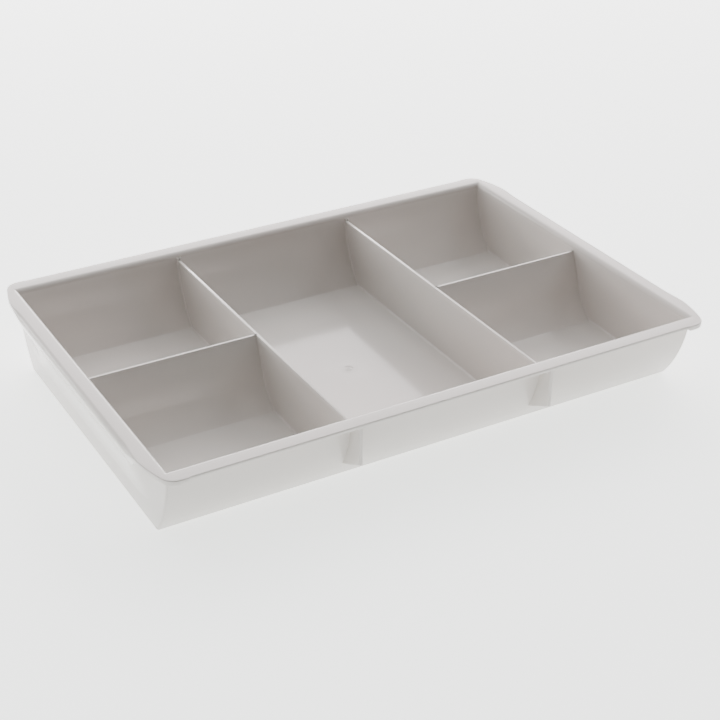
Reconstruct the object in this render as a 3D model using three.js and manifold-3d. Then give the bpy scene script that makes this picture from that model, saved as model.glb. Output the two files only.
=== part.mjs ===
// Drawer organizer insert: a shallow moulded tray with five compartments under a flat overhanging rim.
// Millimetres, +Z up. The origin is the middle of the underside, which lies in the plane z = 0.
// The length runs along X, the two scooped long walls face -Y (front) and +Y (back).
import * as THREE from "three";
import { mergeVertices } from "three/addons/utils/BufferGeometryUtils.js";
import Module from "manifold-3d";

const wasm = await Module();
wasm.setup();

// Overall sizes.
const HEIGHT = 45.5;
const SKIN = 1.8; // floor and long walls
const ARC_SEGMENTS = 12;

// Opening and rim. Half sizes are measured from the middle of the tray.
const OPENING_HALF_X = 160;
const RIM_THICKNESS = 2;
const RIM_HALF_X = 170.8;
const RIM_HALF_Y = 118.3;
const RIM_CHAMFER = 2; // eased inner edge
const TAPER_START_Y = 78; // from here the short sides bend in towards the corners
const TAPER_RADIUS = 110;
const CORNER_RADIUS = 8;

// Long walls: an arc whose centre lies over the floor, above the rim.
const SCOOP_CENTRE_Y = 31;
const SCOOP_CENTRE_Z = HEIGHT + 4.5;
const SCOOP_RADIUS = 77; // inner face

// End walls, and the flare that carries the middle of each short side.
const END_THICKNESS = 1.6;
const FLARE_EDGE = 0.4; // thickness at the flare's lower edge
const FLARE_FOOT_Z = 8;
const FLARE_POWER = 1.6;
const FLARE_END_Y = 104;
const FLARE_STEPS = 8;

// Dividers.
const DIVIDER_X = 58.8;
const DIVIDER_THICKNESS = 1.8;
const DIVIDER_TOP = HEIGHT - 4.6;
const CROSS_TOP_HALF = 0.7;
const CROSS_SLOPE = THREE.MathUtils.degToRad(21);
const CROSS_BEND_Z = 19; // below this height the slope runs out in a round
const CROSS_RADIUS = 40;
const CROSS_HOLLOW_HALF = 0.5; // half width of the flat at the top of the hollow underneath

// Gussets under the rim, in line with the long dividers.
const GUSSET_THICKNESS = 2.2;
const GUSSET_EDGE_Y = 117.8;
const GUSSET_EDGE_Z = 21;
const GUSSET_FOOT_Z = 11.5;

// Mark of the moulding gate, in the middle of the floor.
const GATE_RADIUS = 2.5;
const GATE_HEIGHT = 0.4;

const GAP = 0.3; // between a flat piece and a curved one
const RIM_UNDERSIDE = HEIGHT - RIM_THICKNESS;
const END_OUTER_X = OPENING_HALF_X + END_THICKNESS;
const FLARE_REACH = RIM_HALF_X - END_OUTER_X;
const DIVIDER_INNER_X = DIVIDER_X - DIVIDER_THICKNESS / 2;
const DIVIDER_OUTER_X = DIVIDER_X + DIVIDER_THICKNESS / 2;

const plastic = new THREE.MeshStandardMaterial({ color: 0xd3cfcc, roughness: 0.42, metalness: 0 });

const tray = new THREE.Group();

// Adds a named mesh to the tray; turned puts it on the opposite side, half a turn round Z.
function place(name, geometry, { turned = false, x = 0 } = {}) {
  const mesh = new THREE.Mesh(geometry, plastic);
  mesh.name = name;
  mesh.position.x = x;
  mesh.rotation.z = turned ? Math.PI : 0;
  tray.add(mesh);
}

function extrude(shape, depth) {
  return new THREE.ExtrudeGeometry(shape, { depth, bevelEnabled: false, curveSegments: ARC_SEGMENTS });
}

// An outline drawn in the YZ plane, extruded along X from one value of x to another.
function alongX(shape, fromX, toX) {
  const [x, y, z] = [new THREE.Vector3(1, 0, 0), new THREE.Vector3(0, 1, 0), new THREE.Vector3(0, 0, 1)];
  const turn = new THREE.Matrix4().makeBasis(y, z, x);
  return extrude(shape, toX - fromX).applyMatrix4(turn).translate(fromX, 0, 0);
}

// An outline drawn in the plane of Z (across) and X (up), extruded along Y.
function alongY(shape, fromY, toY) {
  const [x, y, z] = [new THREE.Vector3(1, 0, 0), new THREE.Vector3(0, 1, 0), new THREE.Vector3(0, 0, 1)];
  const turn = new THREE.Matrix4().makeBasis(z, x, y);
  return extrude(shape, toY - fromY).applyMatrix4(turn).translate(0, fromY, 0);
}

// An outline drawn in the XY plane, extruded up from one height to another.
function alongZ(shape, fromZ, toZ) {
  return extrude(shape, toZ - fromZ).translate(0, 0, fromZ);
}

function box(fromX, toX, fromY, toY, fromZ, toZ) {
  const block = new THREE.BoxGeometry(toX - fromX, toY - fromY, toZ - fromZ);
  return block.translate((fromX + toX) / 2, (fromY + toY) / 2, (fromZ + toZ) / 2);
}

function solidOf(geometry) {
  const bare = geometry.clone();
  bare.deleteAttribute("normal");
  bare.deleteAttribute("uv");
  const merged = mergeVertices(bare, 1e-4);
  const vertProperties = merged.attributes.position.array;
  const triVerts = new Uint32Array(merged.index.array);
  return new wasm.Manifold(new wasm.Mesh({ numProp: 3, vertProperties, triVerts }));
}

function geometryOf(solid) {
  const mesh = solid.getMesh();
  const geometry = new THREE.BufferGeometry();
  geometry.setAttribute("position", new THREE.BufferAttribute(mesh.vertProperties, 3));
  return geometry.setIndex(new THREE.BufferAttribute(mesh.triVerts, 1));
}

// Distance of a long wall's face from the middle of the tray, at a height, on an arc of a given radius.
function scoopY(radius, z) {
  return SCOOP_CENTRE_Y + Math.sqrt(radius ** 2 - (SCOOP_CENTRE_Z - z) ** 2);
}

// Draws a long wall's face from one height to another on the side given by sign.
function scoopArc(path, sign, radius, fromZ, toZ) {
  const angle = (z) => {
    const climb = Math.asin((z - SCOOP_CENTRE_Z) / radius);
    return sign > 0 ? climb : Math.PI - climb;
  };
  const clockwise = sign > 0 ? toZ < fromZ : toZ > fromZ;
  path.absarc(sign * SCOOP_CENTRE_Y, SCOOP_CENTRE_Z, radius, angle(fromZ), angle(toZ), clockwise);
}

const OUTER_SCOOP = SCOOP_RADIUS + SKIN;
const FOOT_Y = scoopY(SCOOP_RADIUS, 0); // where the floor meets the long walls
const OPENING_HALF_Y = scoopY(SCOOP_RADIUS, RIM_UNDERSIDE);

// Outline of the whole rim: a straight long side, a corner, then a short side that bends in at its ends.
function rimOutline() {
  const reach = TAPER_RADIUS - CORNER_RADIUS;
  const turn = Math.asin((RIM_HALF_Y - CORNER_RADIUS - TAPER_START_Y) / reach);
  const taper = { x: RIM_HALF_X - TAPER_RADIUS, y: TAPER_START_Y, radius: TAPER_RADIUS, ends: [0, turn] };
  const corner = {
    x: taper.x + reach * Math.cos(turn),
    y: taper.y + reach * Math.sin(turn),
    radius: CORNER_RADIUS,
    ends: [turn, Math.PI / 2],
  };
  const outline = new THREE.Shape();
  for (const [sx, sy] of [[1, 1], [-1, 1], [-1, -1], [1, -1]]) {
    const forward = sx * sy > 0;
    for (const arc of forward ? [taper, corner] : [corner, taper]) {
      const angles = arc.ends.map((a) => Math.atan2(sy * Math.sin(a), sx * Math.cos(a)));
      if (!forward) angles.reverse();
      outline.absarc(sx * arc.x, sy * arc.y, arc.radius, angles[0], angles[1], false);
    }
  }
  return outline;
}

// The rim is one flat ring with an eased inner edge, divided where the long sides meet the short ones.
function addRim() {
  const opening = box(-1, 1, -1, 1, RIM_UNDERSIDE, HEIGHT);
  const corners = opening.attributes.position;
  for (let i = 0; i < corners.count; i++) {
    const ease = corners.getZ(i) > RIM_UNDERSIDE ? RIM_CHAMFER : 0;
    corners.setX(i, corners.getX(i) * (OPENING_HALF_X + ease));
    corners.setY(i, corners.getY(i) * (OPENING_HALF_Y + ease));
  }
  const ring = solidOf(alongZ(rimOutline(), RIM_UNDERSIDE, HEIGHT)).subtract(solidOf(opening));
  const side = (fromX, toX, fromY, toY) =>
    geometryOf(ring.intersect(solidOf(box(fromX, toX, fromY, toY, RIM_UNDERSIDE, HEIGHT))));
  const [inX, outX, outY] = [OPENING_HALF_X, RIM_HALF_X, RIM_HALF_Y];
  place("rim_front", side(-inX, inX, -outY, 0));
  place("rim_back", side(-inX, inX, 0, outY));
  place("rim_left", side(-outX, -inX, -outY, outY));
  place("rim_right", side(inX, outX, -outY, outY));
}

// A scooped wall of the front side, with a flat foot where the floor ends.
function longWall() {
  const outline = new THREE.Shape();
  scoopArc(outline, -1, OUTER_SCOOP, 0, RIM_UNDERSIDE);
  outline.lineTo(-OPENING_HALF_Y, RIM_UNDERSIDE);
  scoopArc(outline, -1, SCOOP_RADIUS, RIM_UNDERSIDE, SKIN);
  outline.lineTo(-FOOT_Y, SKIN);
  outline.lineTo(-FOOT_Y, 0);
  return alongX(outline, -OPENING_HALF_X, OPENING_HALF_X);
}

// The flat shape that closes the tray's end, bounded by the long walls' outer faces.
function endOutline() {
  const outline = new THREE.Shape();
  scoopArc(outline, 1, OUTER_SCOOP, 0, RIM_UNDERSIDE);
  scoopArc(outline, -1, OUTER_SCOOP, RIM_UNDERSIDE, 0);
  return outline;
}

// Swelling on the left end wall that runs out from low on the wall to the rim's edge.
function endFlare() {
  const profile = new THREE.Shape().moveTo(FLARE_FOOT_Z, -END_OUTER_X);
  const rise = RIM_UNDERSIDE - FLARE_FOOT_Z;
  for (let step = 0; step <= FLARE_STEPS; step++) {
    const share = step / FLARE_STEPS;
    const out = FLARE_EDGE + (FLARE_REACH - FLARE_EDGE) * share ** FLARE_POWER;
    profile.lineTo(FLARE_FOOT_Z + rise * share, -END_OUTER_X - out);
  }
  profile.lineTo(RIM_UNDERSIDE, -END_OUTER_X);

  const outerX = -END_OUTER_X - FLARE_REACH;
  const bendY = (TAPER_START_Y + FLARE_END_Y) / 2;
  const plan = new THREE.Shape().moveTo(-END_OUTER_X, FLARE_END_Y);
  plan.bezierCurveTo(-END_OUTER_X, bendY, outerX, bendY, outerX, TAPER_START_Y);
  plan.lineTo(outerX, -TAPER_START_Y);
  plan.bezierCurveTo(outerX, -bendY, -END_OUTER_X, -bendY, -END_OUTER_X, -FLARE_END_Y);

  return geometryOf(
    solidOf(alongY(profile, -FLARE_END_Y, FLARE_END_Y))
      .intersect(solidOf(alongZ(plan, 0, HEIGHT)))
      .intersect(solidOf(alongX(endOutline(), -RIM_HALF_X, -END_OUTER_X))),
  );
}

// A plain upright plate that runs between the two long walls.
function longDivider() {
  const outline = new THREE.Shape();
  for (const sign of [1, -1]) {
    const [fromZ, toZ] = sign > 0 ? [SKIN, DIVIDER_TOP] : [DIVIDER_TOP, SKIN];
    if (sign > 0) outline.moveTo(FOOT_Y, 0).lineTo(FOOT_Y, SKIN);
    scoopArc(outline, sign, SCOOP_RADIUS - GAP, fromZ, toZ);
  }
  outline.lineTo(-FOOT_Y, SKIN);
  outline.lineTo(-FOOT_Y, 0);
  return alongX(outline, -DIVIDER_THICKNESS / 2, DIVIDER_THICKNESS / 2);
}

// A divider folded like a roof, open underneath: two sloping faces that run out into the floor in a round.
function crossDivider() {
  const [sin, cos] = [Math.sin(CROSS_SLOPE), Math.cos(CROSS_SLOPE)];
  const bendY = -CROSS_TOP_HALF - (DIVIDER_TOP - CROSS_BEND_Z) * Math.tan(CROSS_SLOPE);
  const centreY = bendY - CROSS_RADIUS * cos;
  const centreZ = CROSS_BEND_Z + CROSS_RADIUS * sin;
  const hollowRadius = CROSS_RADIUS + SKIN;
  const footAngle = Math.asin((SKIN - centreZ) / CROSS_RADIUS);
  const footY = centreY + CROSS_RADIUS * Math.cos(footAngle);
  const hollowAngle = Math.asin(-centreZ / hollowRadius);
  const hollowBend = { y: bendY + SKIN * cos, z: CROSS_BEND_Z - SKIN * sin };
  const hollowTop = hollowBend.z + (-CROSS_HOLLOW_HALF - hollowBend.y) / Math.tan(CROSS_SLOPE);

  const half = new THREE.Path().moveTo(-CROSS_TOP_HALF, DIVIDER_TOP).lineTo(bendY, CROSS_BEND_Z);
  half.absarc(centreY, centreZ, CROSS_RADIUS, -CROSS_SLOPE, footAngle, true);
  half.lineTo(footY, 0);
  half.absarc(centreY, centreZ, hollowRadius, hollowAngle, -CROSS_SLOPE, false);
  half.lineTo(-CROSS_HOLLOW_HALF, hollowTop);
  const front = half.getPoints(ARC_SEGMENTS);
  const back = front.map((point) => new THREE.Vector2(-point.x, point.y)).reverse();
  const geometry = alongX(new THREE.Shape([...front, ...back]), -OPENING_HALF_X, -DIVIDER_OUTER_X);
  return { geometry, footY };
}

// A web between the rim's underside and the outside of the front wall.
function gusset() {
  const outer = OUTER_SCOOP + GAP;
  const outline = new THREE.Shape();
  scoopArc(outline, -1, outer, GUSSET_FOOT_Z, RIM_UNDERSIDE);
  outline.lineTo(-GUSSET_EDGE_Y, RIM_UNDERSIDE);
  outline.lineTo(-GUSSET_EDGE_Y, GUSSET_EDGE_Z);
  return alongX(outline, -GUSSET_THICKNESS / 2, GUSSET_THICKNESS / 2);
}

addRim();

const wall = longWall();
place("front_wall", wall);
place("back_wall", wall, { turned: true });

const end = alongX(endOutline(), -END_OUTER_X, -OPENING_HALF_X);
const flare = endFlare();
place("left_end_wall", end);
place("right_end_wall", end, { turned: true });
place("left_end_flare", flare);
place("right_end_flare", flare, { turned: true });

const divider = longDivider();
place("long_divider_left", divider, { x: -DIVIDER_X });
place("long_divider_right", divider, { x: DIVIDER_X });

const cross = crossDivider();
place("cross_divider_left", cross.geometry);
place("cross_divider_right", cross.geometry, { turned: true });

const web = gusset();
place("gusset_front_left", web, { x: -DIVIDER_X });
place("gusset_front_right", web, { x: DIVIDER_X });
place("gusset_back_left", web, { x: -DIVIDER_X, turned: true });
place("gusset_back_right", web, { x: DIVIDER_X, turned: true });

const sideFloor = box(-OPENING_HALF_X, -DIVIDER_OUTER_X, -FOOT_Y, cross.footY, 0, SKIN);
const farSideFloor = box(-OPENING_HALF_X, -DIVIDER_OUTER_X, -cross.footY, FOOT_Y, 0, SKIN);
place("floor_left_front", sideFloor);
place("floor_right_back", sideFloor, { turned: true });
place("floor_left_back", farSideFloor);
place("floor_right_front", farSideFloor, { turned: true });
place("floor_middle", box(-DIVIDER_INNER_X, DIVIDER_INNER_X, -FOOT_Y, FOOT_Y, 0, SKIN));

const gate = new THREE.CylinderGeometry(GATE_RADIUS, GATE_RADIUS, GATE_HEIGHT, 32);
gate.rotateX(Math.PI / 2).translate(0, 0, SKIN + GATE_HEIGHT / 2);
place("gate_mark", gate);

export default tray;
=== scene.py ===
"""Looks of a moulded drawer organizer insert: a shallow tray with five compartments under a flat rim.

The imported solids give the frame. Every visible surface is rebuilt here as a finer skin of one warm grey
moulding: cross-sections with true fillets for the three columns of compartments, plates with eased edges for
the end walls and dividers, and one lofted ring for the rim.
"""

import logging
import math
from collections.abc import Callable, Sequence
from dataclasses import dataclass
from enum import Enum

import bmesh
import bpy
from mathutils import Matrix, Vector

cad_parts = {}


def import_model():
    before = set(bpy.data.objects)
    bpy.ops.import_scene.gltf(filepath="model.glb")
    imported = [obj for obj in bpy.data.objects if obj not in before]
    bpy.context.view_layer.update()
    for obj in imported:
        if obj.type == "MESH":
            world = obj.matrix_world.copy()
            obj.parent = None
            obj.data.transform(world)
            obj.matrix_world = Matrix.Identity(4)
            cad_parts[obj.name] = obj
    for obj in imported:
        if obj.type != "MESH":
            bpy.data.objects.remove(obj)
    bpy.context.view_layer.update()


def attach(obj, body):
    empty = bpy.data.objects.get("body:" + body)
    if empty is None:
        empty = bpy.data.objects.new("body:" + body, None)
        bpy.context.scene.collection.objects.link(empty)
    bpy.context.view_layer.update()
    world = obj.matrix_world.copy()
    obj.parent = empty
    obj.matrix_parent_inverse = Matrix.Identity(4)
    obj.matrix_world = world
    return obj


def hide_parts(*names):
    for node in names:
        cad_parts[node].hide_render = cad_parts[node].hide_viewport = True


logging.basicConfig(level=logging.INFO, format="%(levelname)s %(message)s")
LOG = logging.getLogger("organizer")

MM = 0.001
BODY = "root"

Point = tuple[float, float]
Point3 = tuple[float, float, float]


class Slot(Enum):
    """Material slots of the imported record."""

    TRAY = "tray_plastic"


# ---------------------------------------------------------------- sizes, in millimetres


@dataclass(frozen=True)
class TraySizes:
    """Sizes that several sub-assemblies share."""

    height: float = 45.5
    skin: float = 1.8
    opening_half_x: float = 160.0
    scoop_centre_y: float = 31.0
    scoop_centre_z: float = 50.0
    scoop_radius: float = 77.0
    floor_fillet: float = 1.6
    corner_fillet: float = 1.1
    divider_x: float = 58.8
    divider_half: float = 0.9
    divider_top: float = 40.9
    wall_top: float = 42.5


@dataclass(frozen=True)
class RimSizes:
    """Outline and cross-section of the rim."""

    half_x: float = 170.8
    half_y: float = 118.3
    taper_start_y: float = 78.0
    taper_radius: float = 110.0
    corner_radius: float = 8.0
    inner_fillet: float = 3.0
    lip: float = 2.0
    corner_lip: float = 3.0
    corner_proud: float = 0.45
    corner_end_x: float = 153.0
    edge_round: float = 0.55
    soft_round: float = 2.8
    under_round: float = 0.4
    soft_from_y: float = 76.0
    soft_to_y: float = 94.0
    corner_from_y: float = 84.0
    corner_to_y: float = 100.0
    tuck: float = 0.3
    inner_tuck: float = 0.8


@dataclass(frozen=True)
class EndSizes:
    """End wall plate and the flare that carries the middle of a short side.

    The flare leaves the wall at its foot and runs out as a power of the height; flare_lean is how far it
    leans from the vertical where it meets the rim's rolled edge.
    """

    thickness: float = 1.6
    edge_round: float = 1.2
    flare_foot_z: float = 7.0
    flare_power: float = 1.6
    flare_lean: float = math.radians(23.5)
    flare_steps: int = 14
    fade_from_y: float = 66.0
    fade_to_y: float = 108.0


@dataclass(frozen=True)
class CrossSizes:
    """A divider folded like a roof and open underneath."""

    top_half: float = 0.7
    top_ease: float = 0.3
    slope: float = math.radians(21.0)
    bend_z: float = 19.0
    radius: float = 40.0
    hollow_half: float = 0.5


@dataclass(frozen=True)
class GussetSizes:
    """A web under the rim, in line with a long divider."""

    thickness: float = 2.2
    edge_y: float = 117.8
    edge_z: float = 21.0
    foot_z: float = 11.5
    top_z: float = 43.8
    edge_round: float = 0.35


@dataclass(frozen=True)
class GateSizes:
    """The mark of the moulding gate: a small button on a low mound."""

    radius: float = 2.4
    height: float = 0.3
    mound_radius: float = 6.5
    mound_height: float = 0.14
    button_ease: float = 0.3
    dimple_radius: float = 1.0
    dimple_foot: float = 0.6
    centre_radius: float = 0.25
    centre_drop: float = 0.03


@dataclass(frozen=True)
class PlasticFinish:
    """One finish of the moulding.

    Attributes:
        name: Name of the material.
        colour: Base colour, linear.
        warm: Colour of the freshly moulded, slightly pinker skin.
        cool: Colour of the greyer drift.
        roughness: Middle roughness.
        grain: Strength of the fine moulded grain.
        halo: Strength of the pale rings round the gate.
    """

    name: str
    colour: tuple[float, float, float]
    warm: tuple[float, float, float]
    cool: tuple[float, float, float]
    roughness: float
    grain: float
    halo: float


TRAY = TraySizes()
RIM = RimSizes()
END = EndSizes()
CROSS = CrossSizes()
GUSSET = GussetSizes()
GATE = GateSizes()

TRAY_FINISH = PlasticFinish(
    name="satin_tray_plastic",
    colour=(0.600, 0.562, 0.530),
    warm=(0.622, 0.572, 0.540),
    cool=(0.572, 0.556, 0.524),
    roughness=0.11,
    grain=0.08,
    halo=0.35,
)


# ---------------------------------------------------------------- cross-sections


def arc(centre: Point, radius: float, start: float, end: float, steps: int) -> list[Point]:
    """Points along an arc, both ends included.

    Args:
        centre: Centre of the arc.
        radius: Radius of the arc.
        start: First angle, in radians.
        end: Last angle, in radians.
        steps: Number of equal steps.

    Returns:
        The points, from start to end.
    """
    turn = (end - start) / steps
    return [
        (
            centre[0] + radius * math.cos(start + turn * i),
            centre[1] + radius * math.sin(start + turn * i),
        )
        for i in range(steps + 1)
    ]


def inner_fillet_centre(centre: Point, radius: float, fillet: float, inward: float) -> Point:
    """Centre of the fillet between a hollow arc and the floor.

    Args:
        centre: Centre of the arc, as (y, z).
        radius: Radius of the arc.
        fillet: Radius of the fillet.
        inward: 1 if the fillet lies at greater y than the arc's centre, -1 otherwise.

    Returns:
        The fillet's centre, as (y, z).
    """
    z = TRAY.skin + fillet
    reach = math.sqrt((radius - fillet) ** 2 - (centre[1] - z) ** 2)
    return (centre[0] + inward * reach, z)


def scoop_half(depth: float, top: float) -> list[Point]:
    """Back half of a column's section from the floor up to the top of the long wall.

    Args:
        depth: Distance into the skin from its inner face.
        top: Height at which the section ends.

    Returns:
        Points as (y, z), from the floor outwards and up.
    """
    centre = (TRAY.scoop_centre_y, TRAY.scoop_centre_z)
    fillet = inner_fillet_centre(centre, TRAY.scoop_radius, TRAY.floor_fillet, 1.0)
    meet = math.atan2(fillet[1] - centre[1], fillet[0] - centre[0])
    radius = TRAY.scoop_radius + depth
    climb = math.asin((top - centre[1]) / radius)
    foot = arc(fillet, TRAY.floor_fillet + depth, -math.pi / 2, meet, 8)
    return foot[:-1] + arc(centre, radius, meet, climb, 30)


def cross_half(depth: float) -> list[Point]:
    """Back half of the folded divider's section, from its top down to the floor.

    Args:
        depth: Distance into the skin from its upper face.

    Returns:
        Points as (y, z), from the top outwards and down.
    """
    sin, cos = math.sin(CROSS.slope), math.cos(CROSS.slope)
    bend_y = CROSS.top_half + (TRAY.divider_top - CROSS.bend_z) * math.tan(CROSS.slope)
    centre = (bend_y + CROSS.radius * cos, CROSS.bend_z + CROSS.radius * sin)
    fillet = inner_fillet_centre(centre, CROSS.radius, TRAY.floor_fillet, -1.0)
    meet = math.atan2(fillet[1] - centre[1], fillet[0] - centre[0]) % (2 * math.pi)
    down = arc(centre, CROSS.radius + depth, math.pi + CROSS.slope, meet, 20)
    foot = arc(fillet, TRAY.floor_fillet + depth, meet, 1.5 * math.pi, 8)
    if depth < TRAY.skin:
        ease = CROSS.top_ease
        flat = CROSS.top_half - ease * (1 - sin) / cos
        corner = arc((flat, TRAY.divider_top - ease), ease, math.pi / 2, CROSS.slope, 5)
        top = [(0.0, TRAY.divider_top)] + corner
    else:
        start = down[0]
        top_z = start[1] + (start[0] - CROSS.hollow_half) / math.tan(CROSS.slope)
        top = [(0.0, top_z)] + [(CROSS.hollow_half, top_z)] * 6
    return top + down + foot[1:]


def mirrored(half: Sequence[Point]) -> list[Point]:
    """A half section on the positive side, joined to its mirror image.

    Args:
        half: Points that begin at or near the middle plane.

    Returns:
        The whole line, from the negative end to the positive one.
    """
    other = [(-y, z) for y, z in reversed(half)]
    return other[:-1] + list(half) if half[0][0] == 0.0 else other + list(half)


def plain_line(depth: float, top: float = TRAY.wall_top) -> list[Point]:
    """Section of a column with a flat floor, at a depth into its skin."""
    return mirrored(scoop_half(depth, top))


def folded_line(depth: float, top: float = TRAY.wall_top) -> list[Point]:
    """Section of a column with a folded divider across its middle, at a depth into its skin."""
    return mirrored(cross_half(depth) + scoop_half(depth, top))


# ---------------------------------------------------------------- meshes


@dataclass
class MeshDraft:
    """Vertices and faces of one piece while it is being built, in millimetres."""

    vertices: list[Point3]
    faces: list[tuple[int, ...]]

    @classmethod
    def empty(cls) -> "MeshDraft":
        """A draft with nothing in it."""
        return cls([], [])

    def add_rings(self, rings: Sequence[Sequence[Point3]], closed: bool, capped: bool) -> None:
        """Joins rings of equal length with quads.

        Args:
            rings: Loops of points.
            closed: Whether the last ring joins the first one.
            capped: Whether the first and last rings are filled.
        """
        base, count = len(self.vertices), len(rings[0])
        for ring in rings:
            self.vertices.extend(ring)
        spans = len(rings) if closed else len(rings) - 1
        for i in range(spans):
            here, there = base + i * count, base + (i + 1) % len(rings) * count
            for j in range(count):
                k = (j + 1) % count
                self.faces.append((here + j, here + k, there + k, there + j))
        if capped:
            last = base + (len(rings) - 1) * count
            self.faces.append(tuple(base + j for j in reversed(range(count))))
            self.faces.append(tuple(last + j for j in range(count)))

    def to_object(self, name: str, bevel: float = 0.0, smooth: float = 35.0) -> bpy.types.Object:
        """Makes a smooth-shaded object with outward faces.

        Args:
            name: Name of the object.
            bevel: Width of the rounding on sharp edges, or 0 for none.
            smooth: Edges sharper than this many degrees stay sharp.

        Returns:
            The object, linked to the scene.
        """
        mesh = bpy.data.meshes.new(name)
        scaled = [tuple(c * MM for c in v) for v in self.vertices]
        mesh.from_pydata(scaled, [], self.faces)
        mesh.validate()
        made = bpy.data.objects.new(name, mesh)
        bpy.context.scene.collection.objects.link(made)
        tidy = bmesh.new()
        tidy.from_mesh(mesh)
        bmesh.ops.remove_doubles(tidy, verts=tidy.verts, dist=1e-7)
        bmesh.ops.recalc_face_normals(tidy, faces=tidy.faces)
        tidy.to_mesh(mesh)
        tidy.free()
        if bevel:
            rounding = made.modifiers.new("edges", "BEVEL")
            rounding.width = bevel * MM
            rounding.segments = 3
            rounding.limit_method = "ANGLE"
            rounding.angle_limit = math.radians(50)
            bake_modifiers(made)
        made.data.shade_smooth()
        made.data.set_sharp_from_angle(angle=math.radians(smooth))
        return made


def bake_modifiers(made: bpy.types.Object) -> None:
    """Replaces an object's mesh with its evaluated one and clears its modifiers."""
    graph = bpy.context.evaluated_depsgraph_get()
    baked = bpy.data.meshes.new_from_object(made.evaluated_get(graph), depsgraph=graph)
    made.modifiers.clear()
    made.data = baked


def section_loop(line: Callable[[float], list[Point]], skin: float) -> list[Point]:
    """Closed outline between a line at its face and the same line at a depth."""
    return line(0.0) + list(reversed(line(skin)))


def along_x(outline: Sequence[Point], x: float) -> list[Point3]:
    """An outline in the YZ plane, placed at x."""
    return [(x, y, z) for y, z in outline]


# ---------------------------------------------------------------- repeats by Geometry Nodes


@dataclass(frozen=True)
class Repeat:
    """How a piece repeats: a row along X, which is then also turned half round."""

    count: int = 1
    spacing: float = 0.0


def repeat_group() -> bpy.types.NodeTree:
    """Node group that repeats a piece in a row along X and turns the row half round the Z axis."""
    tree = bpy.data.node_groups.get("row_and_half_turn")
    if tree:
        return tree
    tree = bpy.data.node_groups.new("row_and_half_turn", "GeometryNodeTree")
    face = tree.interface
    face.new_socket("Geometry", in_out="INPUT", socket_type="NodeSocketGeometry")
    face.new_socket("Count", in_out="INPUT", socket_type="NodeSocketInt")
    face.new_socket("Spacing", in_out="INPUT", socket_type="NodeSocketFloat")
    face.new_socket("Material", in_out="INPUT", socket_type="NodeSocketMaterial")
    face.new_socket("Geometry", in_out="OUTPUT", socket_type="NodeSocketGeometry")
    nodes, links = tree.nodes, tree.links
    given = nodes.new("NodeGroupInput")
    result = nodes.new("NodeGroupOutput")
    offset = nodes.new("ShaderNodeCombineXYZ")
    row = nodes.new("GeometryNodeMeshLine")
    copies = nodes.new("GeometryNodeInstanceOnPoints")
    turn = nodes.new("GeometryNodeTransform")
    turn.inputs["Rotation"].default_value = (0.0, 0.0, math.pi)
    join = nodes.new("GeometryNodeJoinGeometry")
    real = nodes.new("GeometryNodeRealizeInstances")
    paint = nodes.new("GeometryNodeSetMaterial")
    links.new(given.outputs["Spacing"], offset.inputs["X"])
    links.new(given.outputs["Count"], row.inputs["Count"])
    links.new(offset.outputs["Vector"], row.inputs["Offset"])
    links.new(row.outputs["Mesh"], copies.inputs["Points"])
    links.new(given.outputs["Geometry"], copies.inputs["Instance"])
    links.new(copies.outputs["Instances"], turn.inputs["Geometry"])
    links.new(copies.outputs["Instances"], join.inputs["Geometry"])
    links.new(turn.outputs["Geometry"], join.inputs["Geometry"])
    links.new(join.outputs["Geometry"], real.inputs["Geometry"])
    links.new(real.outputs["Geometry"], paint.inputs["Geometry"])
    links.new(given.outputs["Material"], paint.inputs["Material"])
    links.new(paint.outputs["Geometry"], result.inputs["Geometry"])
    return tree


def repeat(made: bpy.types.Object, rule: Repeat, material: bpy.types.Material) -> None:
    """Repeats a piece by the node group and keeps the result as a plain mesh.

    Args:
        made: The piece, in place at its first position.
        rule: How it repeats.
        material: Material of every copy.
    """
    tree = repeat_group()
    sockets = {s.name: s.identifier for s in tree.interface.items_tree if s.in_out == "INPUT"}
    modifier = made.modifiers.new("repeat", "NODES")
    modifier.node_group = tree
    modifier[sockets["Count"]] = rule.count
    modifier[sockets["Spacing"]] = rule.spacing * MM
    modifier[sockets["Material"]] = material
    bake_modifiers(made)


def finish_piece(
    made: bpy.types.Object, material: bpy.types.Material, nodes: Sequence[str]
) -> None:
    """Gives a piece its material and hands it to the frame.

    Args:
        made: The finished piece.
        material: Its material.
        nodes: CAD nodes that it stands for.
    """
    made.data.materials.clear()
    made.data.materials.append(material)
    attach(made, BODY)
    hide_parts(*nodes)
    LOG.info("%s: %d faces for %s", made.name, len(made.data.polygons), ", ".join(nodes))


# ---------------------------------------------------------------- materials


def new_shader_group(name: str, inputs: Sequence[tuple], outputs: Sequence[tuple]) -> tuple:
    """Makes a shader node group with typed sockets.

    Args:
        name: Name of the group.
        inputs: (name, socket type, default) of each input.
        outputs: (name, socket type) of each output.

    Returns:
        The tree, its input node and its output node.
    """
    tree = bpy.data.node_groups.new(name, "ShaderNodeTree")
    for label, kind, default in inputs:
        socket = tree.interface.new_socket(label, in_out="INPUT", socket_type=kind)
        socket.default_value = default
    for label, kind in outputs:
        tree.interface.new_socket(label, in_out="OUTPUT", socket_type=kind)
    return tree, tree.nodes.new("NodeGroupInput"), tree.nodes.new("NodeGroupOutput")


def math_node(tree: bpy.types.NodeTree, operation: str, first, second) -> bpy.types.NodeSocket:
    """Adds a Math node whose operands are sockets or numbers, and returns its output."""
    node = tree.nodes.new("ShaderNodeMath")
    node.operation = operation
    for i, value in enumerate((first, second)):
        if isinstance(value, bpy.types.NodeSocket):
            tree.links.new(value, node.inputs[i])
        elif value is not None:
            node.inputs[i].default_value = value
    return node.outputs[0]


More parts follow.
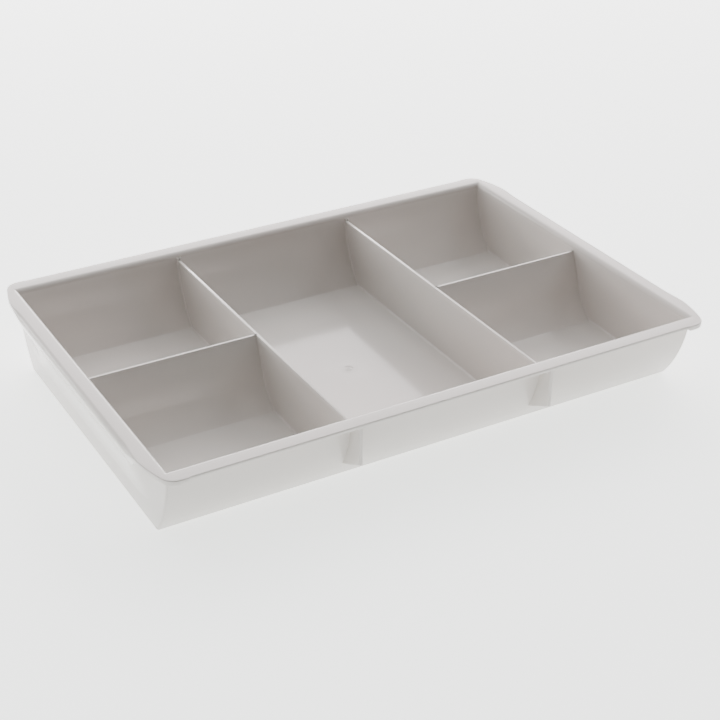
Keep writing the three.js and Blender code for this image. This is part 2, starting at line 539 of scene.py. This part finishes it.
def noise(tree: bpy.types.NodeTree, place, scale: float, detail: float) -> bpy.types.NodeSocket:
    """Adds a noise texture at a place and returns its value."""
    node = tree.nodes.new("ShaderNodeTexNoise")
    node.inputs["Scale"].default_value = scale
    node.inputs["Detail"].default_value = detail
    tree.links.new(place, node.inputs["Vector"])
    return node.outputs["Fac"]


def flow_group() -> bpy.types.NodeTree:
    """Group for the drift of colour in the melt and the pale rings that it leaves round the gate."""
    tree, given, result = new_shader_group(
        "melt_flow",
        [
            ("Position", "NodeSocketVector", (0, 0, 0)),
            ("Base", "NodeSocketColor", (0.6, 0.6, 0.6, 1)),
            ("Warm", "NodeSocketColor", (0.6, 0.6, 0.6, 1)),
            ("Cool", "NodeSocketColor", (0.6, 0.6, 0.6, 1)),
            ("Halo", "NodeSocketFloat", 0.3),
        ],
        [("Colour", "NodeSocketColor"), ("Halo Mask", "NodeSocketFloat")],
    )
    links = tree.links
    broad = noise(tree, given.outputs["Position"], 7.0, 2.0)
    cloudy = noise(tree, given.outputs["Position"], 42.0, 4.0)
    drift = math_node(tree, "MULTIPLY_ADD", cloudy, 0.35)
    links.new(broad, drift.node.inputs[2])
    tone = tree.nodes.new("ShaderNodeMapRange")
    tone.inputs["From Min"].default_value = 0.45
    tone.inputs["From Max"].default_value = 0.9
    links.new(drift, tone.inputs["Value"])
    warm = tree.nodes.new("ShaderNodeMix")
    warm.data_type = "RGBA"
    links.new(tone.outputs["Result"], warm.inputs["Factor"])
    links.new(given.outputs["Cool"], warm.inputs["A"])
    links.new(given.outputs["Warm"], warm.inputs["B"])
    blend = tree.nodes.new("ShaderNodeMix")
    blend.data_type = "RGBA"
    blend.inputs["Factor"].default_value = 0.55
    links.new(given.outputs["Base"], blend.inputs["A"])
    links.new(warm.outputs["Result"], blend.inputs["B"])
    flat = tree.nodes.new("ShaderNodeVectorMath")
    flat.operation = "MULTIPLY"
    flat.inputs[1].default_value = (1.0, 1.0, 0.0)
    links.new(given.outputs["Position"], flat.inputs[0])
    length = tree.nodes.new("ShaderNodeVectorMath")
    length.operation = "LENGTH"
    links.new(flat.outputs["Vector"], length.inputs[0])
    near = tree.nodes.new("ShaderNodeMapRange")
    near.interpolation_type = "SMOOTHSTEP"
    near.inputs["From Min"].default_value = 0.022
    near.inputs["From Max"].default_value = 0.003
    links.new(length.outputs["Value"], near.inputs["Value"])
    ragged = math_node(tree, "MULTIPLY", near.outputs["Result"], cloudy)
    mask = math_node(tree, "MULTIPLY", ragged, given.outputs["Halo"])
    paler = tree.nodes.new("ShaderNodeMix")
    paler.data_type = "RGBA"
    paler.inputs["B"].default_value = (0.80, 0.77, 0.75, 1)
    links.new(mask, paler.inputs["Factor"])
    links.new(blend.outputs["Result"], paler.inputs["A"])
    links.new(paler.outputs["Result"], result.inputs["Colour"])
    links.new(mask, result.inputs["Halo Mask"])
    return tree


def surface_group() -> bpy.types.NodeTree:
    """Group for the fine moulded grain, the handling marks and the mask of convex edges that carries the
    painted edge highlight.
    """
    tree, given, result = new_shader_group(
        "moulded_surface",
        [
            ("Position", "NodeSocketVector", (0, 0, 0)),
            ("Grain", "NodeSocketFloat", 0.1),
            ("Roughness", "NodeSocketFloat", 0.45),
        ],
        [
            ("Normal", "NodeSocketVector"),
            ("Roughness", "NodeSocketFloat"),
            ("Edge Highlight Mask", "NodeSocketFloat"),
        ],
    )
    links = tree.links
    grain = noise(tree, given.outputs["Position"], 1500.0, 3.0)
    ripple = noise(tree, given.outputs["Position"], 26.0, 2.0)
    smear = noise(tree, given.outputs["Position"], 90.0, 5.0)
    wave = tree.nodes.new("ShaderNodeBump")
    wave.inputs["Strength"].default_value = 0.12
    wave.inputs["Distance"].default_value = 0.0008
    links.new(ripple, wave.inputs["Height"])
    bump = tree.nodes.new("ShaderNodeBump")
    bump.inputs["Distance"].default_value = 0.00006
    links.new(given.outputs["Grain"], bump.inputs["Strength"])
    links.new(grain, bump.inputs["Height"])
    links.new(wave.outputs["Normal"], bump.inputs["Normal"])
    links.new(bump.outputs["Normal"], result.inputs["Normal"])
    varied = math_node(tree, "MULTIPLY_ADD", smear, 0.14)
    links.new(given.outputs["Roughness"], varied.node.inputs[2])
    links.new(math_node(tree, "SUBTRACT", varied, 0.07), result.inputs["Roughness"])
    # Convex edges picked out by pointiness: the mask for the painted highlight along the edges.
    shape = tree.nodes.new("ShaderNodeNewGeometry")
    edge = tree.nodes.new("ShaderNodeMapRange")
    edge.inputs["From Min"].default_value = 0.53
    edge.inputs["From Max"].default_value = 0.62
    links.new(shape.outputs["Pointiness"], edge.inputs["Value"])
    links.new(edge.outputs["Result"], result.inputs["Edge Highlight Mask"])
    return tree


class Plastics:
    """Makes the materials from their finishes, on shared node groups."""

    def __init__(self) -> None:
        self.flow = flow_group()
        self.surface = surface_group()

    def make(self, finish: PlasticFinish) -> bpy.types.Material:
        """Builds one plastic.

        Args:
            finish: The finish to build.

        Returns:
            The material.
        """
        material = bpy.data.materials.new(finish.name)
        material.use_nodes = True
        tree = material.node_tree
        nodes, links = tree.nodes, tree.links
        shader = nodes["Principled BSDF"]
        place = nodes.new("ShaderNodeTexCoord").outputs["Object"]
        flow = nodes.new("ShaderNodeGroup")
        flow.node_tree = self.flow
        links.new(place, flow.inputs["Position"])
        flow.inputs["Base"].default_value = (*finish.colour, 1)
        flow.inputs["Warm"].default_value = (*finish.warm, 1)
        flow.inputs["Cool"].default_value = (*finish.cool, 1)
        flow.inputs["Halo"].default_value = finish.halo
        surface = nodes.new("ShaderNodeGroup")
        surface.node_tree = self.surface
        links.new(place, surface.inputs["Position"])
        surface.inputs["Grain"].default_value = finish.grain
        surface.inputs["Roughness"].default_value = finish.roughness
        # Painted highlight: convex edges are screened lighter in the base colour, in place of the sheen of
        # light on the fillets.
        edge_highlight = nodes.new("ShaderNodeMix")
        edge_highlight.data_type = "RGBA"
        edge_highlight.blend_type = "SCREEN"
        edge_highlight.inputs["B"].default_value = (0.25, 0.24, 0.23, 1)
        edge = math_node(tree, "MULTIPLY", surface.outputs["Edge Highlight Mask"], 0.5)
        links.new(edge, edge_highlight.inputs["Factor"])
        links.new(flow.outputs["Colour"], edge_highlight.inputs["A"])
        links.new(edge_highlight.outputs["Result"], shader.inputs["Base Color"])
        links.new(surface.outputs["Roughness"], shader.inputs["Roughness"])
        links.new(surface.outputs["Normal"], shader.inputs["Normal"])
        shader.inputs["IOR"].default_value = 1.49
        shader.inputs["Specular IOR Level"].default_value = 0.42
        return material


# ---------------------------------------------------------------- sub-assemblies


class Columns:
    """The three columns of compartments: floors, scooped walls and folded dividers as one skin each."""

    def __init__(self, material: bpy.types.Material) -> None:
        self.material = material

    def skin(
        self, name: str, line: Callable[[float], list[Point]], from_x: float, to_x: float
    ) -> bpy.types.Object:
        """One column's skin with the coves that run down its two cut ends.

        Args:
            name: Name of the piece.
            line: Section of the column at a depth into its skin.
            from_x: Face of the plate at the column's left.
            to_x: Face of the plate at its right.

        Returns:
            The piece.
        """
        draft = MeshDraft.empty()
        outline = section_loop(line, TRAY.skin)
        ends = (from_x - self.buried(from_x), to_x + self.buried(to_x))
        draft.add_rings([along_x(outline, x) for x in ends], closed=False, capped=True)
        for face, sign in ((from_x, 1.0), (to_x, -1.0)):
            draft.add_rings(self.cove(line, face, sign), closed=False, capped=True)
        return draft.to_object(name, smooth=40.0)

    @staticmethod
    def buried(face: float) -> float:
        """Length of skin hidden in a plate: to an end wall's rounding, or half a divider."""
        if abs(face) >= TRAY.opening_half_x:
            return END.thickness - END.edge_round
        return TRAY.divider_half

    def cove(
        self, line: Callable[[float], list[Point]], face: float, sign: float
    ) -> list[list[Point3]]:
        """Rings of the cove between a column's skin and the plate at one of its ends.

        Args:
            line: Section of the column at a depth into its skin.
            face: Position of the plate's face.
            sign: 1 if the column lies at greater x than the plate, -1 otherwise.

        Returns:
            The cove's section at each point of the column's line.
        """
        runs = [
            along_x(line(depth), face + sign * out)
            for out, depth in self.cove_section(TRAY.corner_fillet)
        ]
        return [list(ring) for ring in zip(*runs)]

    @staticmethod
    def cove_section(size: float) -> list[Point]:
        """The cove's section as (distance from the plate, depth into the skin)."""
        curve = [
            (size * (1 - math.cos(a)), -size * (1 - math.sin(a)))
            for a in (math.pi / 2 * i / 5 for i in range(6))
        ]
        buried = 0.5
        return curve + [(size, buried), (-buried, buried), (-buried, -size)]

    def build(self) -> None:
        """Makes the three columns."""
        inner = TRAY.divider_x - TRAY.divider_half
        outer = TRAY.divider_x + TRAY.divider_half
        middle = self.skin("middle_column", plain_line, -inner, inner)
        finish_piece(
            middle, self.material, ["floor_middle", "front_wall", "back_wall"]
        )
        side = self.skin("side_columns", folded_line, -TRAY.opening_half_x, -outer)
        repeat(side, Repeat(), self.material)
        nodes = ["cross_divider_left", "cross_divider_right"]
        nodes += [f"floor_{x}_{y}" for x in ("left", "right") for y in ("front", "back")]
        finish_piece(side, self.material, nodes)


class Plates:
    """Upright plates: the two end walls and the two long dividers."""

    def __init__(self, material: bpy.types.Material) -> None:
        self.material = material

    def end_wall(self) -> bpy.types.Object:
        """The left end wall, its outer edge rounded over."""
        draft = MeshDraft.empty()
        face = -TRAY.opening_half_x
        straight = END.thickness - END.edge_round
        core = plain_line(TRAY.skin / 2)
        rings = [along_x(core, face), along_x(core, face - straight)]
        for i in range(6):
            turn = math.pi / 2 * i / 5
            inset = END.edge_round * (1 - math.cos(turn))
            out = straight + END.edge_round * math.sin(turn)
            rings.append(along_x(plain_line(TRAY.skin - inset), face - out))
        draft.add_rings(rings, closed=False, capped=True)
        return draft.to_object("end_walls", smooth=40.0)

    def long_divider(self) -> bpy.types.Object:
        """The left long divider, a plate with eased top edges."""
        draft = MeshDraft.empty()
        half = TRAY.divider_half
        outline = plain_line(TRAY.skin / 2, TRAY.divider_top)
        rings = [along_x(outline, -TRAY.divider_x + x) for x in (-half, half)]
        draft.add_rings(rings, closed=False, capped=True)
        return draft.to_object("long_dividers", bevel=0.3, smooth=60.0)

    def build(self) -> None:
        """Makes the plates and their opposites."""
        sides = ("left", "right")
        walls = self.end_wall()
        repeat(walls, Repeat(), self.material)
        finish_piece(walls, self.material, [f"{s}_end_wall" for s in sides])
        dividers = self.long_divider()
        repeat(dividers, Repeat(), self.material)
        finish_piece(dividers, self.material, [f"long_divider_{s}" for s in sides])


def wall_foot(y: float) -> float:
    """Lowest height of the end wall at a distance from the middle plane."""
    radius = TRAY.scoop_radius + TRAY.skin
    reach = min(radius, max(0.0, y - TRAY.scoop_centre_y))
    return TRAY.scoop_centre_z - math.sqrt(radius**2 - reach**2)


def smooth_step(share: float) -> float:
    """Eases a share from 0 to 1, held at both ends."""
    held = min(1.0, max(0.0, share))
    return held * held * (3 - 2 * held)


def ramp(value: float, start: float, end: float) -> float:
    """Eases from 0 where a value is at its start to 1 where it is at its end."""
    return smooth_step((value - start) / (end - start))


@dataclass(frozen=True)
class RimStation:
    """One place round the rim.

    Attributes:
        outer: Point of the outline.
        normal: Outward direction there.
        inner: Matching point on the opening, as shares of its half sizes.
        soft: 1 where the edge rolls over softly, 0 where it is crisp.
        swell: 1 where the flare is full, 0 where the end wall is plain.
        corner: 1 in the thicker corner stretch, 0 on the plain sides.
    """

    outer: Point
    normal: Point
    inner: Point
    soft: float
    swell: float
    corner: float


class Rim:
    """The rim as one lofted ring with an eased inner edge.

    Its outer edge is a thin crisp lip along the long sides and round the corners. In the middle of each short
    side the edge rolls over softly instead and runs down the end wall as a flare.
    """

    def __init__(self, material: bpy.types.Material) -> None:
        self.material = material
        reach = RIM.taper_radius - RIM.corner_radius
        rise = RIM.half_y - RIM.corner_radius - RIM.taper_start_y
        self.turn = math.asin(rise / reach)
        self.taper_x = RIM.half_x - RIM.taper_radius
        self.corner = (
            self.taper_x + reach * math.cos(self.turn),
            RIM.taper_start_y + reach * math.sin(self.turn),
        )
        self.split = (self.turn + math.pi / 2) / 2
        self.opening_y = TRAY.scoop_centre_y + math.sqrt(
            TRAY.scoop_radius**2 - (TRAY.scoop_centre_z - TRAY.wall_top) ** 2
        )

    def quarter(self) -> list[RimStation]:
        """Stations of the quarter at positive x and y, from the short side to the long one."""
        found: list[tuple[Point, Point, bool]] = []
        for i in range(16):
            found.append(((RIM.half_x, RIM.taper_start_y * i / 16), (1.0, 0.0), True))
        for i in range(13):
            a = self.turn * i / 13
            n = (math.cos(a), math.sin(a))
            p = (self.taper_x + RIM.taper_radius * n[0], RIM.taper_start_y + RIM.taper_radius * n[1])
            found.append((p, n, True))
        for i in range(17):
            a = self.turn + (math.pi / 2 - self.turn) * i / 16
            n = (math.cos(a), math.sin(a))
            p = tuple(c + RIM.corner_radius * k for c, k in zip(self.corner, n))
            found.append((p, n, a <= self.split))
        step_x = RIM.corner_end_x
        for x in (156.0, step_x + 0.9, step_x + 0.3, step_x - 0.3, step_x - 0.9):
            found.append(((x, RIM.half_y), (0.0, 1.0), False))
        for i in range(1, 17):
            found.append(((150.0 * (1 - i / 17), RIM.half_y), (0.0, 1.0), False))
        corner_point = (
            self.corner[0] + RIM.corner_radius * math.cos(self.split),
            self.corner[1] + RIM.corner_radius * math.sin(self.split),
        )
        return [self.station(p, n, short, corner_point) for p, n, short in found]

    def station(self, p: Point, n: Point, short: bool, corner: Point) -> RimStation:
        """Fills in what varies round the rim for one outline point."""
        inner = (1.0, p[1] / corner[1]) if short else (p[0] / corner[0], 1.0)
        soft = 1.0 - ramp(p[1], RIM.soft_from_y, RIM.soft_to_y) if short else 0.0
        swell = 1.0 - ramp(p[1], END.fade_from_y, END.fade_to_y) if short else 0.0
        if short:
            thick = ramp(p[1], RIM.corner_from_y, RIM.corner_to_y)
        else:
            thick = smooth_step((p[0] - RIM.corner_end_x + 0.8) / 1.6)
        return RimStation(p, n, inner, soft, swell, thick)

    def ring(self, at: RimStation) -> list[Point3]:
        """Section of the rim at one station, from the opening over the top to the outer wall."""
        radius = RIM.inner_fillet
        points: list[Point3] = []

        def inside(out: float, z: float) -> None:
            x = at.inner[0] * (TRAY.opening_half_x + out)
            y = at.inner[1] * (self.opening_y + out)
            points.append((x, y, z))

        def outside(inset: float, z: float) -> None:
            points.append((at.outer[0] - at.normal[0] * inset, at.outer[1] - at.normal[1] * inset, z))

        top = TRAY.height
        inside(0.0, TRAY.wall_top)
        for i in range(1, 9):
            a = math.pi / 2 * i / 8
            inside(radius * (1 - math.cos(a)), top - radius + radius * math.sin(a))
        foot = max(END.flare_foot_z, wall_foot(at.outer[1]) + END.edge_round)
        crisp_edge, soft_edge = self.crisp_edge(at, foot), self.soft_edge(foot)
        lip_points = len(crisp_edge) - END.flare_steps
        for i, (crisp, soft) in enumerate(zip(crisp_edge, soft_edge)):
            share = at.soft if i < lip_points else at.swell
            inset = crisp[0] + (soft[0] - crisp[0]) * share
            outside(inset, crisp[1] + (soft[1] - crisp[1]) * share)
        inside(RIM.inner_tuck, foot if at.swell else TRAY.wall_top)
        inside(RIM.inner_tuck, TRAY.wall_top)
        return points

    def crisp_edge(self, at: RimStation, foot: float) -> list[Point]:
        """Outer edge with a lip, as (distance in from the outline, height).

        Args:
            at: The station.
            foot: Height at which the section ends.

        Returns:
            Points over the edge, down the lip and along its underside to inside the wall.
        """
        top, proud = TRAY.height, RIM.corner_proud * at.corner
        lip = RIM.lip + (RIM.corner_lip - RIM.lip) * at.corner
        edge, under = RIM.edge_round, RIM.under_round
        found = [
            (edge * (1 - math.sin(a)) - proud, top - edge * (1 - math.cos(a)))
            for a in (math.pi / 2 * i / 6 for i in range(7))
        ]
        found += [
            (under * (1 - math.cos(a)) - proud, top - lip + under * (1 - math.sin(a)))
            for a in (math.pi / 2 * i / 3 for i in range(4))
        ]
        hidden = self.overhang(at) + RIM.tuck
        low = foot if at.swell else TRAY.wall_top
        for i in range(END.flare_steps):
            share = i / (END.flare_steps - 1)
            found.append((hidden, top - lip + (low - top + lip) * share))
        return found

    def overhang(self, at: RimStation) -> float:
        """Distance from the outline to the outer face of the wall below it."""
        wall_x = TRAY.opening_half_x + END.thickness
        wall_y = self.opening_y + TRAY.skin
        return at.outer[0] - wall_x if at.normal[0] > at.normal[1] else at.outer[1] - wall_y

    @staticmethod
    def soft_edge(foot: float) -> list[Point]:
        """Outer edge that rolls over into the flare, as (distance in from the outline, height).

        Args:
            foot: Height at which the flare ends.

        Returns:
            As many points as the crisp edge has.
        """
        radius = RIM.soft_round
        found = [
            (radius * (1 - math.sin(a)), TRAY.height - radius * (1 - math.cos(a)))
            for a in ((math.pi / 2 + END.flare_lean) * i / 6 for i in range(7))
        ]
        start_in, start_z = found[-1]
        reach = RIM.half_x - TRAY.opening_half_x - END.thickness - start_in + RIM.tuck
        steps = END.flare_steps + 4
        for i in range(1, steps + 1):
            z = start_z + (foot - start_z) * i / steps
            share = (z - END.flare_foot_z) / (start_z - END.flare_foot_z)
            found.append((start_in + reach * (1 - max(0.0, share) ** END.flare_power), z))
        return found

    def build(self) -> None:
        """Makes the ring round all four quarters."""
        quarter = self.quarter()
        rings: list[list[Point3]] = []
        for sx, sy in ((1, 1), (-1, 1), (-1, -1), (1, -1)):
            stations = quarter if sx * sy > 0 else list(reversed(quarter))
            for at in stations:
                rings.append([(sx * x, sy * y, z) for x, y, z in self.ring(at)])
        draft = MeshDraft.empty()
        draft.add_rings(rings, closed=True, capped=False)
        made = draft.to_object("rim", smooth=38.0)
        sides = ("front", "back", "left", "right")
        nodes = [f"rim_{s}" for s in sides] + ["left_end_flare", "right_end_flare"]
        finish_piece(made, self.material, nodes)


class Gussets:
    """The webs under the rim, in line with the long dividers."""

    def __init__(self, material: bpy.types.Material) -> None:
        self.material = material

    def outline(self) -> list[Point]:
        """Outline of one web of the front side, as (y, z)."""
        centre = (-TRAY.scoop_centre_y, TRAY.scoop_centre_z)
        radius = TRAY.scoop_radius + TRAY.skin / 2
        low = math.pi - math.asin((GUSSET.foot_z - centre[1]) / radius)
        high = math.pi - math.asin((GUSSET.top_z - centre[1]) / radius)
        wall = arc(centre, radius, low, high, 14)
        return wall + [(-GUSSET.edge_y, GUSSET.top_z), (-GUSSET.edge_y, GUSSET.edge_z)]

    def build(self) -> None:
        """Makes one web and repeats it along the tray and on the other side."""
        draft = MeshDraft.empty()
        half = GUSSET.thickness / 2
        rings = [along_x(self.outline(), -TRAY.divider_x + x) for x in (-half, half)]
        draft.add_rings(rings, closed=False, capped=True)
        made = draft.to_object("gussets", bevel=GUSSET.edge_round, smooth=60.0)
        repeat(made, Repeat(count=2, spacing=2 * TRAY.divider_x), self.material)
        nodes = [f"gusset_{y}_{x}" for y in ("front", "back") for x in ("left", "right")]
        finish_piece(made, self.material, nodes)


class GateMark:
    """The mark of the moulding gate in the middle of the floor."""

    def __init__(self, material: bpy.types.Material) -> None:
        self.material = material

    def build(self) -> None:
        """Makes the mound, the button on it and the button's dimple."""
        draft = MeshDraft.empty()
        base, mound, button = TRAY.skin, GATE.mound_height, GATE.height
        profile = [
            (GATE.mound_radius, base - 0.2),
            (GATE.mound_radius, base),
            (GATE.mound_radius * 0.8, base + mound * 0.3),
            (GATE.mound_radius * 0.55, base + mound * 0.85),
            (GATE.radius, base + mound),
            (GATE.radius - GATE.button_ease, base + button),
            (GATE.dimple_radius, base + button),
            (GATE.dimple_foot, base + mound),
            (GATE.centre_radius, base + mound - GATE.centre_drop),
        ]
        rings = []
        for radius, z in profile:
            turns = [2 * math.pi * i / 48 for i in range(48)]
            rings.append([(radius * math.cos(a), radius * math.sin(a), z) for a in turns])
        draft.add_rings(rings, closed=False, capped=True)
        made = draft.to_object("gate_mark_relief", smooth=60.0)
        finish_piece(made, self.material, ["gate_mark"])


# ---------------------------------------------------------------- studio


@dataclass(frozen=True)
class SoftLight:
    """One area light of the studio."""

    name: str
    place: Point3
    aim: Point3
    size: Point
    watts: float
    colour: tuple[float, float, float] = (1.0, 1.0, 1.0)


AIM = (0.0, 0.0, 0.02)
ROSE = (1.0, 0.92, 0.935)
LIGHTS = (
    SoftLight("backdrop", (0.95, 1.65, 1.0), AIM, (2.6, 1.3), 54.0, ROSE),
    SoftLight("low_back_strip", (0.0, 1.5, 0.35), AIM, (2.4, 0.4), 24.0),
    SoftLight("right_softbox", (1.5, 0.2, 0.9), AIM, (1.6, 1.6), 34.0),
    SoftLight("back_softbox", (0.2, 1.3, 1.1), AIM, (2.4, 1.2), 11.0),
    SoftLight("high_back_softbox", (0.2, 0.9, 1.5), AIM, (2.0, 1.0), 10.5),
    SoftLight("left_back_softbox", (-1.2, 1.6, 0.65), AIM, (2.4, 1.3), 14.0),
    SoftLight("left_high_softbox", (-1.0, 0.3, 1.3), AIM, (1.2, 1.2), 7.5),
    SoftLight("low_left_strip", (-1.5, 0.5, 0.25), AIM, (1.2, 0.3), 4.7),
    SoftLight("overhead", (0.0, 0.0, 1.6), AIM, (1.2, 1.2), 5.0),
)


class Studio:
    """Pale floor, soft lights and the camera."""

    camera_place = (-0.3886, -0.6919, 0.4632)
    camera_ahead = (0.43111, 0.75248, -0.49790)
    camera_right = (0.86879, -0.49516, 0.00392)
    focal_length = 77.84

    def floor(self) -> None:
        """A pale sheet under the tray, lit evenly from below like a display table."""
        bpy.ops.mesh.primitive_plane_add(size=12.0, location=(0, 0, -0.0002))
        made = bpy.context.object
        made.name = "studio_floor"
        material = bpy.data.materials.new("studio_white")
        material.use_nodes = True
        shader = material.node_tree.nodes["Principled BSDF"]
        shader.inputs["Base Color"].default_value = (0.93, 0.93, 0.93, 1)
        shader.inputs["Roughness"].default_value = 0.75
        shader.inputs["Specular IOR Level"].default_value = 0.2
        shader.inputs["Emission Color"].default_value = (0.965, 1.0, 0.975, 1)
        shader.inputs["Emission Strength"].default_value = 1.83
        made.data.materials.append(material)

    def lights(self) -> None:
        """Soft area lights in a dark room."""
        for spec in LIGHTS:
            data = bpy.data.lights.new(spec.name, "AREA")
            data.shape = "RECTANGLE"
            data.size, data.size_y = spec.size
            data.energy = spec.watts
            data.color = spec.colour
            lamp = bpy.data.objects.new(spec.name, data)
            lamp.location = spec.place
            aim = Vector(spec.aim) - Vector(spec.place)
            lamp.rotation_euler = aim.to_track_quat("-Z", "Y").to_euler()
            bpy.context.scene.collection.objects.link(lamp)
        world = bpy.data.worlds.new("studio_surround")
        bpy.context.scene.world = world
        world.use_nodes = True
        back = world.node_tree.nodes["Background"]
        back.inputs["Color"].default_value = (1.0, 1.0, 1.0, 1)
        back.inputs["Strength"].default_value = 0.0

    def camera(self) -> None:
        """The camera, looking down at the front left corner."""
        data = bpy.data.cameras.new("camera")
        data.lens = self.focal_length
        data.sensor_width = 36.0
        data.clip_start, data.clip_end = 0.01, 50.0
        made = bpy.data.objects.new("camera", data)
        ahead = Vector(self.camera_ahead).normalized()
        right = Vector(self.camera_right).normalized()
        up = right.cross(ahead).normalized()
        turn = Matrix((right, up, -ahead)).transposed()
        made.matrix_world = Matrix.Translation(self.camera_place) @ turn.to_4x4()
        bpy.context.scene.collection.objects.link(made)
        bpy.context.scene.camera = made

    def build(self) -> None:
        """Sets up the whole studio."""
        self.floor()
        self.lights()
        self.camera()


def main() -> None:
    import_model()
    plastics = Plastics()
    tray_plastic = plastics.make(TRAY_FINISH)
    for part in (Columns, Plates, Rim, Gussets, GateMark):
        part(tray_plastic).build()
    Studio().build()


if __name__ == "__main__":
    main()
